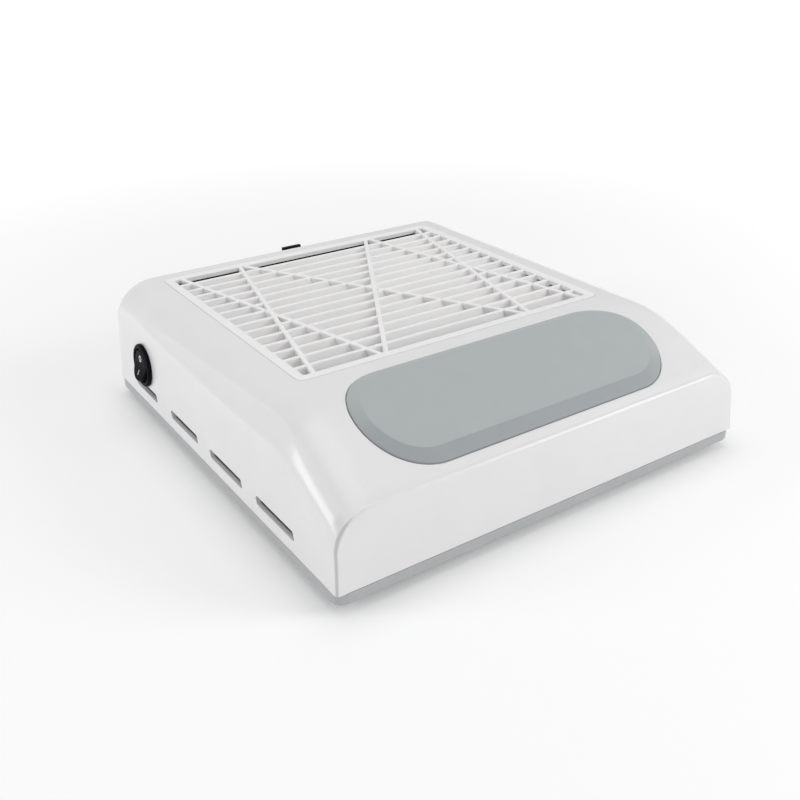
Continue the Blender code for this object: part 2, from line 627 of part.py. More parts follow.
def add_electrics(root):
    board = (-98.0, -68.0, -96.0, -60.0)
    piece("control_board", box(*board, FLOOR_TOP + 2.0, FLOOR_TOP + 3.6), "board", root)
    piece("board_spacer", box(-90.0, -76.0, -84.0, -72.0, FLOOR_TOP + GAP, FLOOR_TOP + 2.0 - GAP),
          "white_satin", root)
    piece("board_capacitor", disc(6.0, FLOOR_TOP + 3.9, FLOOR_TOP + 18.0, 16, -88.0, -70.0),
          "black_plastic", root)
    piece("board_choke", tube(2.0, 5.5, FLOOR_TOP + 3.9, FLOOR_TOP + 10.0, 16, -78.0, -87.0),
          "copper", root)


def add_lead(root, name, points, radius=1.3):
    """An internal two-core lead as a bevelled curve through smooth points."""
    curve = bpy.data.curves.new(name, "CURVE")
    curve.dimensions = "3D"
    curve.bevel_depth = radius * MM
    curve.bevel_resolution = 2
    curve.use_fill_caps = True
    smooth = []
    ends = [points[0], *points, points[-1]]
    steps = 4
    for a, b, c, d in zip(ends, ends[1:], ends[2:], ends[3:]):
        a, b, c, d = map(Vector, (a, b, c, d))
        for k in range(steps):
            t = k / steps
            smooth.append(0.5 * (2 * b + (c - a) * t + (2 * a - 5 * b + 4 * c - d) * t ** 2
                                 + (3 * b - a - 3 * c + d) * t ** 3))
    smooth.append(Vector(points[-1]))
    line = curve.splines.new("POLY")
    line.points.add(len(smooth) - 1)
    for point, place in zip(line.points, smooth):
        point.co = (*(place * MM), 1.0)
    thing = bpy.data.objects.new(name, curve)
    bpy.context.collection.objects.link(thing)
    curve.materials.append(material("black_rubber"))
    thing.parent = root


def add_leads(root):
    z = FLOOR_TOP + 1.9
    add_lead(root, "lead_inlet_to_switch", [
        (INLET_X - 4.3, 93.2, INLET_Z), (INLET_X - 4.6, 90.0, INLET_Z - 2), (70.0, 86.0, 14.0),
        (60.0, 92.0, z), (48.0, 104.0, z), (0.0, 108.0, z), (-60.0, 108.0, z), (-80.0, 102.0, z + 3),
        (-86.0, 92.0, 25.0), (-92.0, SWITCH_Y + 5.5, SWITCH_Z + 3.0)])
    add_lead(root, "lead_switch_to_board", [
        (-92.0, SWITCH_Y - 4.0, SWITCH_Z - 5.0), (-88.0, 70.0, 20.0), (-85.0, 60.0, 12.0), (-84.0, 40.0, z),
        (-84.0, 0.0, z), (-84.0, -30.0, z), (-83.0, -46.0, z), (-80.0, -55.0, z + 3),
        (-78.0, -61.0, FLOOR_TOP + 5.6)])
    add_lead(root, "lead_board_to_motor", [
        (-69.0, -78.0, FLOOR_TOP + 5.6), (-64.0, -77.0, FLOOR_TOP + 4.6), (-58.0, -66.0, z),
        (-62.0, -44.0, z), (-74.0, -14.0, z), (-70.0, 14.0, z), (-50.0, 28.0, z), (-36.0, 33.0, z),
        (-24.6, 33.0, z + 0.3)])


def main():
    clear_scene()
    root = empty("chassis")
    root.location = CENTRE
    frame, turn, place = switch_frame(root)
    add_housing(root, turn, place)
    add_base(root)
    add_feet(root)
    add_housing_screws(root)
    add_hand_rest(root)
    add_grille(root)
    add_filter(root)
    add_filter_rails(root)
    add_deck(root)
    add_air_guides(root)
    add_rotor(root)
    add_motor(root)
    add_switch(root, frame)
    add_inlet(root)
    add_electrics(root)
    add_leads(root)


main()
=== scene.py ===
"""Looks of the nail dust collector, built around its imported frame.

Shapes are written in millimetres about the plan centre of the casing, with
Z up from the desk, the front at -Y and the switch on the left wall at -X.
"""
import json
import math

import bmesh
import bpy
from mathutils import Matrix, Vector


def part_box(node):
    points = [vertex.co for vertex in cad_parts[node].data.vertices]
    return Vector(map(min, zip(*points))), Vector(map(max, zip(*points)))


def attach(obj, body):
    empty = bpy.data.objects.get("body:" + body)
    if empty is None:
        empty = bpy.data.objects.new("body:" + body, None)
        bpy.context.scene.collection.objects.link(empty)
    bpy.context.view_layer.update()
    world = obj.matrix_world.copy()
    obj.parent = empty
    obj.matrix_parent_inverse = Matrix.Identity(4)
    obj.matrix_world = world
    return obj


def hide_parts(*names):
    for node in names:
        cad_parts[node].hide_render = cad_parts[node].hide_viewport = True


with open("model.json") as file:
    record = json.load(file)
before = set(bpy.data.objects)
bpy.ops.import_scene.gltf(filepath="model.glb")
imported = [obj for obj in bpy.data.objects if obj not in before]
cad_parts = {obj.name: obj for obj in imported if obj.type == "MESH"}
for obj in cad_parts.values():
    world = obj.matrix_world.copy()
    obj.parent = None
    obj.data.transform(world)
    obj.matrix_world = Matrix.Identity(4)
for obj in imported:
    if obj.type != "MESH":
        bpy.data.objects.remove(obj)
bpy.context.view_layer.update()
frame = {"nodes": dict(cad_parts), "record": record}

MM = 0.001
GAP = 0.3  # between pieces that are let into each other


def middle(node):
    low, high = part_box(node)
    return (Vector(low) + Vector(high)) / 2


ORIGIN = Vector((middle("base_shell").x, middle("base_shell").y, 0.0))


def local_box(node):
    """A CAD node's corners in this file's millimetres."""
    low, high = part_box(node)
    return (Vector(low) - ORIGIN) / MM, (Vector(high) - ORIGIN) / MM


BASE_LOW, BASE_HIGH = local_box("base_shell")
HOUSE_LOW = local_box("top_housing")[0]
RIM_LOW, RIM_HIGH = local_box("grille_panel")
PAD_LOW, PAD_HIGH = local_box("hand_rest_pad")
CASSETTE_LOW, CASSETTE_HIGH = local_box("filter_frame")
BEZEL_LOW, BEZEL_HIGH = local_box("switch_body")

WIDTH, DEPTH = 2 * BASE_HIGH.x, 2 * BASE_HIGH.y
FOOT_H = BASE_LOW.z
TOP = RIM_HIGH.z
STRIP_TOP = HOUSE_LOW.z - GAP
WALL = 2.2
DRAFT, FRONT_LEAN = 0.06, 0.075
ROOF_FLAT_Y, CREASE_Y = -60.25, -117.5
ROOF_CURVE, ROOF_EASE = 0.011655, 0.00009135
FRONT_EDGE_R, REAR_EDGE_R = 1.8, 3.0

SEAM = 5.0  # width of the grille's rim
SEAM_GAP, SEAM_ROUND = 0.1, 0.15
GRILLE_X = RIM_HIGH.x + GAP - SEAM
GRILLE_Y0, GRILLE_Y1 = RIM_LOW.y - GAP + SEAM, RIM_HIGH.y + GAP - SEAM
GRILLE_MID = (GRILLE_Y0 + GRILLE_Y1) / 2
GRILLE_HALF = (GRILLE_Y1 - GRILLE_Y0) / 2
LEDGE_Z = TOP - 1.6
BAR_COUNT, BAR_T, BAR_DEEP, BAR_LEAN = 14, 2.0, TOP - RIM_LOW.z, 3.0
SKIRT_T, SKIRT_Z = 1.8, 62.6
RIB_SPANS = ((-78.3, -43.3), (-41.0, 41.0), (44.0, 79.0))

PAD_Y = (PAD_LOW.y + PAD_HIGH.y) / 2
PAD_R = (PAD_HIGH.y - PAD_LOW.y) / 2
PAD_ARC_X = PAD_HIGH.x - PAD_R

VENTS = ((-86.3, -51.9), (-38.3, -3.9), (10.0, 43.6), (62.4, 92.6))
VENT_Z0, VENT_Z1 = 16.0, 20.2
SWITCH_Y, SWITCH_Z = (BEZEL_LOW.y + BEZEL_HIGH.y) / 2, 31.9
BEZEL_R, BEZEL_PROUD, POCKET_R = 11.5, 2.1, 9.15
ROCKER_TILT, PIVOT_OUT = 11.0, 0.9
INLET_X, INLET_Z = middle("power_inlet").x / MM - ORIGIN.x / MM, 24.0


# ---------------------------------------------------------------- materials

def material(name, colour, roughness, metallic=0.0, mottle=0.0, mottle_scale=60.0,
             grain=0.0, grain_scale=2500.0, gloss_spread=0.0, coat=0.0, coat_roughness=0.1,
             sheen=0.0, specular=0.5, subsurface=0.0, ior=1.5, edge_painted_shade=1.0,
             corner_painted_shade=1.0):
    """A moulded or metal finish: mottled colour, uneven gloss and a fine grain in the surface, with optional
    painted shade on the mesh attribute named edge and at vertical corners.
    """
    made = bpy.data.materials.new(name)
    made.use_nodes = True
    nodes, links = made.node_tree.nodes, made.node_tree.links
    shader = nodes["Principled BSDF"]
    shader.inputs["Metallic"].default_value = metallic
    shader.inputs["Coat Weight"].default_value = coat
    shader.inputs["Coat Roughness"].default_value = coat_roughness
    shader.inputs["Sheen Weight"].default_value = sheen
    shader.inputs["Specular IOR Level"].default_value = specular
    shader.inputs["IOR"].default_value = ior
    shader.inputs["Subsurface Weight"].default_value = subsurface
    shader.inputs["Subsurface Scale"].default_value = 0.002
    place = nodes.new("ShaderNodeTexCoord")

    def noise(scale, detail):
        made_noise = nodes.new("ShaderNodeTexNoise")
        made_noise.inputs["Scale"].default_value = scale
        made_noise.inputs["Detail"].default_value = detail
        links.new(place.outputs["Object"], made_noise.inputs["Vector"])
        return made_noise.outputs["Fac"]

    ramp = nodes.new("ShaderNodeValToRGB")
    links.new(noise(mottle_scale, 4.0), ramp.inputs["Fac"])
    ramp.color_ramp.elements[0].position = 0.3
    ramp.color_ramp.elements[1].position = 0.7
    ramp.color_ramp.elements[0].color = (*[c * (1 - mottle) for c in colour], 1)
    ramp.color_ramp.elements[1].color = (*[min(1, c * (1 + mottle)) for c in colour], 1)
    links.new(ramp.outputs["Color"], shader.inputs["Base Color"])

    def painted_shade(amount, shade_level):
        """Painted shade: multiply the base colour down to the given level where amount reaches 1."""
        mix = nodes.new("ShaderNodeMix")
        mix.data_type, mix.blend_type = "RGBA", "MULTIPLY"
        links.new(amount, mix.inputs["Factor"])
        links.new(ramp.outputs["Color"], mix.inputs[6])
        mix.inputs[7].default_value = (shade_level, shade_level, min(1.0, shade_level * 1.015), 1)
        links.new(mix.outputs[2], shader.inputs["Base Color"])

    # Painted shade: darker where the mesh attribute named edge is set.
    if edge_painted_shade < 1.0:
        edge = nodes.new("ShaderNodeAttribute")
        edge.attribute_name = "edge"
        painted_shade(edge.outputs["Fac"], edge_painted_shade)
    # Painted shade: darker where the normal faces diagonally across a vertical corner, in place of the dark
    # reflection a fillet shows.
    if corner_painted_shade < 1.0:
        size = nodes.new("ShaderNodeVectorMath")
        size.operation = "ABSOLUTE"
        links.new(place.outputs["Normal"], size.inputs[0])
        toward = nodes.new("ShaderNodeVectorMath")
        toward.operation = "DOT_PRODUCT"
        links.new(size.outputs["Vector"], toward.inputs[0])
        toward.inputs[1].default_value = (0.66, 0.66, 0.35)
        near = nodes.new("ShaderNodeMapRange")
        near.interpolation_type = "SMOOTHSTEP"
        links.new(toward.outputs["Value"], near.inputs["Value"])
        near.inputs["From Min"].default_value = 0.87
        near.inputs["From Max"].default_value = 0.945
        painted_shade(near.outputs["Result"], corner_painted_shade)

    spread = nodes.new("ShaderNodeMapRange")
    links.new(noise(mottle_scale * 3.1, 3.0), spread.inputs["Value"])
    spread.inputs["To Min"].default_value = max(0.02, roughness - gloss_spread)
    spread.inputs["To Max"].default_value = roughness + gloss_spread
    links.new(spread.outputs["Result"], shader.inputs["Roughness"])

    if grain:
        bump = nodes.new("ShaderNodeBump")
        bump.inputs["Strength"].default_value = grain
        bump.inputs["Distance"].default_value = 0.0001
        links.new(noise(grain_scale, 2.0), bump.inputs["Height"])
        links.new(bump.outputs["Normal"], shader.inputs["Normal"])
    return made


def make_materials():
    return {
        # The casing white carries painted shade at its vertical corners.
        "white_gloss": material("white_gloss_abs_painted_corner_shade", (0.815, 0.808, 0.815), 0.30, mottle=0.012,
                                mottle_scale=45, grain=0.12, grain_scale=1800, gloss_spread=0.04,
                                coat=0.40, coat_roughness=0.08, subsurface=0.04,
                                corner_painted_shade=0.72),
        "white_satin": material("white_satin_abs", (0.90, 0.895, 0.895), 0.40, mottle=0.012,
                                grain=0.10, grain_scale=2500, gloss_spread=0.05,
                                subsurface=0.05),
        "grey_base": material("grey_textured_abs", (0.45, 0.46, 0.47), 0.48, mottle=0.03,
                              grain=0.5, grain_scale=3200, gloss_spread=0.06),
        # The pad grey carries painted shade on its bevel towards the front and left.
        "grey_pad": material("grey_soft_touch_rubber_painted_edge_shade", (0.42, 0.45, 0.455), 0.56, mottle=0.015,
                             mottle_scale=90, grain=0.35, grain_scale=3800, gloss_spread=0.05,
                             sheen=0.15, edge_painted_shade=0.80),
        "black_plastic": material("black_nylon", (0.008, 0.008, 0.009), 0.48, mottle=0.15,
                                  grain=0.3, grain_scale=3000, gloss_spread=0.07,
                                  specular=0.4, ior=1.18),
        "switch_black": material("black_switch_nylon", (0.005, 0.0055, 0.0075), 0.42, mottle=0.1,
                                 grain=0.2, grain_scale=4200, gloss_spread=0.05,
                                 specular=0.3, ior=1.12),
        "black_rubber": material("black_rubber", (0.022, 0.022, 0.022), 0.75, mottle=0.2,
                                 grain=0.5, grain_scale=2600, gloss_spread=0.08),
        "mark_white": material("white_print", (0.80, 0.80, 0.78), 0.5, mottle=0.02,
                               grain=0.1, gloss_spread=0.03),
        "filter_paper": material("filter_paper", (0.80, 0.79, 0.75), 0.92, mottle=0.05,
                                 mottle_scale=500, grain=0.9, grain_scale=1500, sheen=0.2),
        "foam": material("black_foam", (0.03, 0.03, 0.032), 0.95, mottle=0.3,
                         mottle_scale=900, grain=1.0, grain_scale=1400),
        "steel": material("zinc_plated_steel", (0.58, 0.59, 0.60), 0.30, metallic=1.0,
                          mottle=0.06, mottle_scale=300, grain=0.2, gloss_spread=0.08),
        "brass": material("brass", (0.72, 0.53, 0.24), 0.32, metallic=1.0, mottle=0.06,
                          mottle_scale=300, grain=0.15, gloss_spread=0.08),
        "copper": material("enamelled_copper", (0.62, 0.27, 0.13), 0.35, metallic=1.0,
                           mottle=0.12, mottle_scale=700, grain=0.8, grain_scale=900),
        "board": material("glass_fibre_board", (0.03, 0.16, 0.07), 0.4, mottle=0.1,
                          mottle_scale=600, grain=0.3, gloss_spread=0.05, coat=0.3),
    }


# ---------------------------------------------------------------- shapes

def several(*shapes):
    """Shapes that don't touch, as one shape."""
    verts, faces = [], []
    for more_verts, more_faces in shapes:
        start = len(verts)
        verts += list(more_verts)
        faces += [[i + start for i in face] for face in more_faces]
    return verts, faces


def loft(rings, closed=False, caps=True):
    """Skin rings of equal length."""
    n, verts, faces = len(rings[0]), [], []
    for ring in rings:
        verts += list(ring)
    for k in range(len(rings) if closed else len(rings) - 1):
        a, b = k * n, (k + 1) % len(rings) * n
        for i in range(n):
            j = (i + 1) % n
            faces.append([a + i, a + j, b + j, b + i])
    if caps and not closed:
        faces += [list(range(n)), list(range((len(rings) - 1) * n, len(rings) * n))]
    return verts, faces


def prism(outline, z0, z1):
    return loft([[(x, y, z) for x, y in outline] for z in (z0, z1)])


def box(x0, x1, y0, y1, z0, z1):
    return prism(((x0, y0), (x1, y0), (x1, y1), (x0, y1)), z0, z1)


def circle(radius, count, x=0.0, y=0.0, start=0.0, sweep=2 * math.pi):
    whole = abs(sweep - 2 * math.pi) < 1e-6
    steps = count if whole else count - 1
    angles = (start + sweep * i / steps for i in range(count))
    return [(x + radius * math.cos(a), y + radius * math.sin(a)) for a in angles]


def rounded(half_x, half_y, radius, count=7, mid=(0.0, 0.0)):
    """A rectangle with round corners."""
    outline = []
    for k, (sx, sy) in enumerate(((1, 1), (-1, 1), (-1, -1), (1, -1))):
        outline += circle(radius, count, mid[0] + sx * (half_x - radius),
                          mid[1] + sy * (half_y - radius), k * math.pi / 2, math.pi / 2)
    return outline


def turned(profile, count=64, x=0.0, y=0.0):
    """Turn a closed (r, z) profile, all off the axis, about the Z line at x, y."""
    rings = []
    for k in range(count):
        a = 2 * math.pi * k / count
        rings.append([(x + r * math.cos(a), y + r * math.sin(a), z) for r, z in profile])
    return loft(rings, closed=True)


def placed(shape, matrix):
    verts, faces = shape
    return [tuple(matrix @ Vector(v)) for v in verts], faces


def mouth(size, steps=4):
    """(grow, depth) pairs of a rounded edge, from the face down to the straight wall."""
    angles = [math.pi / 2 * k / steps for k in range(steps + 1)]
    return [(size * (1 - math.sin(a)), size * (1 - math.cos(a))) for a in angles]


def bare_object(name, shape):
    verts, faces = shape
    mesh = bpy.data.meshes.new(name)
    work = bmesh.new()
    made = [work.verts.new(Vector(v) * MM + ORIGIN) for v in verts]
    for face in faces:
        work.faces.new([made[i] for i in face])
    bmesh.ops.recalc_face_normals(work, faces=work.faces)
    work.to_mesh(mesh)
    work.free()
    thing = bpy.data.objects.new(name, mesh)
    bpy.context.collection.objects.link(thing)
    return thing


def solid(name, shape, changes=()):
    """An object from a shape and a list of (operation, shape) Booleans, all applied."""
    thing = bare_object(name, shape)
    tools = []
    for operation, other in changes:
        cutter = bare_object(f"{name}_tool", other)
        change = thing.modifiers.new("Change", "BOOLEAN")
        change.operation, change.object, change.solver = operation, cutter, "EXACT"
        tools.append(cutter)
    if tools:
        graph = bpy.context.evaluated_depsgraph_get()
        mesh = bpy.data.meshes.new_from_object(thing.evaluated_get(graph))
        thing.modifiers.clear()
        thing.data = mesh
        for cutter in tools:
            bpy.data.objects.remove(cutter, do_unlink=True)
    return thing


def dress(thing, finish, body, sharp=30, stands_for=()):
    """Smooth shading, material, body and the CAD nodes that a piece stands for."""
    thing.data.materials.clear()
    thing.data.materials.append(MATERIALS[finish])
    thing.data.shade_smooth()
    thing.data.set_sharp_from_angle(angle=math.radians(sharp))
    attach(thing, body)
    if stands_for:
        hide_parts(*stands_for)
    return thing


# ---------------------------------------------------------------- casing

def roof(y):
    fall = max(0.0, ROOF_FLAT_Y - y)
    return TOP - ROOF_CURVE * fall ** 2 + ROOF_EASE * fall ** 3


def half_width(z):
    return WIDTH / 2 - DRAFT * (z - STRIP_TOP)


def front_y(z):
    return -DEPTH / 2 + FRONT_LEAN * (z - STRIP_TOP)


def rear_y(z):
    return DEPTH / 2 - DRAFT * (z - STRIP_TOP)


def facet(y):
    """The shoulder's flat facet at y: its lower and upper edge in degrees, and how flat it is."""
    along = min(1.0, max(0.0, (104.0 - y) / 160.0))
    upper = 26.0 + 24.0 * along ** 0.8
    lower = 26.0 - 14.0 * (1 - math.exp(-max(0.0, 92.0 - y) / 30.0))
    fade = min(1.0, max(0.0, (y + 95.0) / 50.0))
    return lower, upper, fade * fade * (3 - 2 * fade)


def casing_outline(y, inset, bottom, detailed):
    """Half outline (x, z) up the right wall and over the shoulder to the roof."""
    along = min(1.0, max(0.0, (ROOF_FLAT_Y - y) / (ROOF_FLAT_Y - CREASE_Y)))
    rx, rz = 22.0 - 4.0 * along - inset, 20.0 - 3.0 * along - inset
    top = roof(y) - inset
    mid_x, mid_z = half_width(top - rz) - inset - rx, top - rz
    points = [(half_width(bottom) - inset, bottom)]
    lower, upper, flat = facet(y)
    if detailed:
        crisp = min(0.8, (upper - lower) / 4)
        bounds = (0.0, lower, upper - crisp, upper, upper + crisp, 90.0)
        steps = (5, 9, 1, 1, 9)
    else:
        bounds, steps = (0.0, 90.0), (9,)
    angles = []
    for (a, b), n in zip(zip(bounds, bounds[1:]), steps):
        angles += [a + (b - a) * k / n for k in range(n)]
    angles.append(90.0)
    for degrees in angles:
        a = math.radians(degrees)
        sink = 0.0
        if detailed and lower < degrees < upper:
            half_span = math.radians(upper - lower) / 2
            share = (degrees - lower) / (upper - lower)
            chord = rx * (1 - math.cos(half_span) / math.cos(a - math.radians(lower) - half_span))
            soft = min(1.0, share / 0.45)
            sink = flat * chord * soft * soft * (3 - 2 * soft)
        points.append((mid_x + (rx - sink) * math.cos(a), mid_z + (rz - sink) * math.sin(a)))
    return points


def casing_form(inset, bottom, detailed):
    rear_r, front_r = (max(r - inset, 0.3) for r in (REAR_EDGE_R, FRONT_EDGE_R))
    steps = 6 if detailed else 2
    flat_ys = 34 if detailed else 8
    slope_ys = 26 if detailed else 8
    ys = [104.0 - (104.0 - ROOF_FLAT_Y) * k / flat_ys for k in range(flat_ys + 1)]
    ys += [ROOF_FLAT_Y + (CREASE_Y + 4.5 - ROOF_FLAT_Y) * k / slope_ys
           for k in range(1, slope_ys + 1)]

    def ring(y, place, radius=0.0, turn=0.0):
        """A ring at y; on a rounded edge it's drawn in by turn, a share of the edge's radius."""
        half = casing_outline(y, inset, bottom, detailed)
        top = half[-1][1]
        right = []
        for x, z in half:
            low = radius * turn * (z - bottom) / (top - bottom)
            right.append((x - radius * turn, place(z, radius), z - low))
        return right + [(-x, py, z) for x, py, z in reversed(right)]

    rings = []
    for k in range(steps + 1):
        s, c = math.sin(math.pi / 2 * k / steps), math.cos(math.pi / 2 * k / steps)
        rings.append(ring(104.0, lambda z, r: rear_y(z) - inset - r * (1 - c), rear_r, 1 - s))
    rings += [ring(y, lambda z, r, y=y: y) for y in ys]
    for k in range(steps + 1):
        s, c = math.sin(math.pi / 2 * k / steps), math.cos(math.pi / 2 * k / steps)
        rings.append(ring(CREASE_Y, lambda z, r: front_y(z) + inset + r * (1 - s), front_r, 1 - c))
    return loft(rings)


def stadium(grow, lift, steps):
    """The hand rest's outline as (x, y, z), lifted above the roof."""
    half = []
    for k in range(steps + 1):
        a = -math.pi / 2 + math.pi * k / steps
        x, y = PAD_ARC_X + (PAD_R + grow) * math.cos(a), PAD_Y + (PAD_R + grow) * math.sin(a)
        half.append((x, y, roof(y) + lift))
    return half + [(-x, y, z) for x, y, z in reversed(half)]


def pad_slab(levels, steps=48):
    """A stadium slab from (grow, lift) rings, its ends filled with strips across."""
    verts, faces = loft([stadium(grow, lift, steps) for grow, lift in levels], caps=False)
    n = 2 * (steps + 1)
    for start in (0, (len(levels) - 1) * n):
        for k in range(steps):
            faces.append([start + k, start + k + 1, start + n - 2 - k, start + n - 1 - k])
    return verts, faces


def vent_outline(ends, grow, count=6):
    """A side vent's outline (y, z): a slot with leaning round ends."""
    r, lean = 1.5, 0.4
    mid_y, mid_z = sum(ends) / 2, (VENT_Z0 + VENT_Z1) / 2
    reach_y, reach_z = (ends[1] - ends[0]) / 2 - r - lean, (VENT_Z1 - VENT_Z0) / 2 - r
    outline = []
    for k, (sy, sz) in enumerate(((1, 1), (-1, 1), (-1, -1), (1, -1))):
        outline += circle(r + grow, count, mid_y + sy * reach_y + sz * lean,
                          mid_z + sz * reach_z, k * math.pi / 2, math.pi / 2)
    return outline


def vent_cutter(ends, side):
    levels = [(0.3, 3.0)] + [(g, -d) for g, d in mouth(0.3)] + [(0.0, -8.0)]
    rings = []
    for grow, out in levels:
        outline = vent_outline(ends, grow)
        rings.append([(side * (half_width(z) + out), y, z) for y, z in outline])
    return loft(rings)


def rim_cutter():
    """The stepped opening that the grille panel lies in."""
    half_x, half_y = GRILLE_X + SEAM, GRILLE_HALF + SEAM
    levels = [(SEAM_ROUND, TOP + 3.0)] + [(g, TOP - d) for g, d in mouth(SEAM_ROUND, 3)]
    levels += [(0.0, LEDGE_Z)]
    rings = [[(x, y, z) for x, y in rounded(half_x + g, half_y + g, 4.0 + g, mid=(0, GRILLE_MID))]
             for g, z in levels]
    return loft(rings)


def make_housing():
    bottom = STRIP_TOP + GAP
    through = rounded(GRILLE_X + SEAM - 2.2, GRILLE_HALF + SEAM - 2.2, 2.0, mid=(0, GRILLE_MID))
    recess = [(GAP, -1.3)] + [(GAP + g, -d) for g, d in reversed(mouth(0.5))] + [(GAP + 0.5, 6.0)]
    slot_x = CASSETTE_HIGH.x + 0.8
    changes = [
        ("DIFFERENCE", casing_form(WALL, 0.0, False)),
        ("DIFFERENCE", rim_cutter()),
        ("DIFFERENCE", prism(through, TOP - 8.0, TOP + 4.0)),
        ("DIFFERENCE", pad_slab(recess)),
        ("DIFFERENCE", several(*[vent_cutter(ends, side) for ends in VENTS for side in (-1, 1)])),
        ("DIFFERENCE", placed(prism(circle(9.9, 64), -8.0, 8.0), SWITCH)),
        ("DIFFERENCE", box(-slot_x, slot_x, 108.5, 125.0, CASSETTE_LOW.z - 0.8,
                           CASSETTE_HIGH.z + 0.6)),
        ("DIFFERENCE", box(INLET_X - 10.5, INLET_X + 10.5, 105.0, 125.0,
                           INLET_Z - 6.5, INLET_Z + 6.5)),
    ]
    housing = solid("housing_shell", casing_form(0.0, bottom, True), changes)
    dress(housing, "white_gloss", "casing", 28, ("top_housing",))
    even = housing.modifiers.new("Even normals", "WEIGHTED_NORMAL")
    even.keep_sharp = True


# ---------------------------------------------------------------- hand rest

def make_hand_rest():
    """The pad stands proud with a wide soft bevel round its flat top."""
    steps = 60
    levels = [(-0.4, -1.0), (0.0, -0.6), (0.0, 0.15), (-0.1, 0.35), (-0.35, 0.5)]
    rise = [(-0.35 - 4.65 * k / 6, 0.5 + 1.5 * k / 6) for k in range(1, 6)]
    levels += rise + [(-4.9, 1.96), (-5.15, 2.0), (-5.5, 2.0), (-7.0, 2.0)]
    pad = solid("hand_rest", pad_slab(levels, steps))
    # The edge attribute marks painted shade: the bevel that faces front and left is drawn darker.
    edge = pad.data.attributes.new("edge", "FLOAT", "POINT")
    reach = Vector((PAD_ARC_X, PAD_Y)) * MM
    per_ring = 2 * (steps + 1)
    for k, point in enumerate(pad.data.vertices):
        spot = point.co - ORIGIN
        x = spot.x - max(-reach.x, min(reach.x, spot.x))
        away = Vector((x, spot.y - reach.y)).normalized()
        facing = max(0.0, away.dot(Vector((-0.45, -0.89))))
        edge.data[k].value = min(1.0, 1.3 * facing) if k < per_ring * (len(levels) - 2) else 0.0
    dress(pad, "grey_pad", "casing", 50, ("hand_rest_pad",))


# ---------------------------------------------------------------- grille

def bar_profile(y, thick, deep, lean, sink=0.05):
    """A louvre's section (y, z): a round crown, and a blade that leans to the front below."""
    half, top = thick / 2, TOP - sink - thick / 2
    arch = [(y + half * math.cos(a), top + half * math.sin(a))
            for a in [math.pi * k / 10 for k in range(11)]]
    return arch + [(y - half - lean + 0.3, TOP - deep), (y + half - lean - 0.3, TOP - deep)]


def make_grille():
    half_x, half_y = GRILLE_X + SEAM - SEAM_GAP, GRILLE_HALF + SEAM - SEAM_GAP
    mid = (0, GRILLE_MID)
    levels = [(0.0, LEDGE_Z + GAP)] + [(g - SEAM_ROUND, TOP - d)
                                     for g, d in mouth(SEAM_ROUND, 3)[::-1]]
    rim = loft([[(x, y, z) for x, y in rounded(half_x + g, half_y + g, 3.9 + g, mid=mid)]
                for g, z in levels])
    skirt = prism(rounded(GRILLE_X + SKIRT_T, GRILLE_HALF + SKIRT_T, 1.8, mid=mid),
                  SKIRT_Z, TOP - 0.5)
    inner = [(0.0, TOP - 6.0)] + [(g, TOP - d) for g, d in reversed(mouth(0.4))] + [(0.4, TOP + 2.0)]
    hole = loft([[(x, y, z) for x, y in rounded(GRILLE_X + g, GRILLE_HALF + g, 0.8 + g, mid=mid)]
                 for g, z in inner])
    pitch = (GRILLE_Y1 - GRILLE_Y0 + BAR_T) / (BAR_COUNT + 1)
    bars = []
    for k in range(BAR_COUNT):
        section = bar_profile(GRILLE_Y0 - BAR_T / 2 + pitch * (k + 1), 2.3, BAR_DEEP - 0.3, BAR_LEAN)
        bars.append(loft([[(x, y, z) for y, z in section]
                          for x in (-GRILLE_X - 0.8, GRILLE_X + 0.8)]))
    y0, y1 = GRILLE_Y0 - 0.8, GRILLE_Y1 + 0.8
    diagonals = ([], [])
    for x0, x1 in RIB_SPANS:
        for k, (start, end) in enumerate(((x0, x1), (x1, x0))):
            section = bar_profile(0.0, 2.4, BAR_DEEP - 0.8, 0.0, 0.02)
            flat = [(px, min(pz, TOP - 0.45)) for px, pz in section]
            slope = 1 / Vector((end - start, y1 - y0)).normalized().y
            lift = 0.4 - 0.04 * k
            diagonals[k].append(loft([[(x + px * slope, y, pz + lift) for px, pz in flat]
                                      for x, y in ((start, y0), (end, y1))]))
    grille = solid("grille", rim, [("UNION", skirt), ("DIFFERENCE", hole),
                                   ("UNION", several(*bars)), ("UNION", several(*diagonals[0])),
                                   ("UNION", several(*diagonals[1]))])
    dress(grille, "white_satin", "casing", 32, ("grille_panel",))


# ---------------------------------------------------------------- switch

def switch_matrix():
    """From the switch's own frame (Z out of the wall, Y up) to this file's frame."""
    lean = math.atan(DRAFT)
    out = Vector((-math.cos(lean), 0, math.sin(lean)))
    up = Vector((math.sin(lean), 0, math.cos(lean)))
    turn = Matrix((up.cross(out), up, out)).transposed().to_4x4()
    return Matrix.Translation((-half_width(SWITCH_Z), SWITCH_Y, SWITCH_Z)) @ turn


SWITCH = switch_matrix()


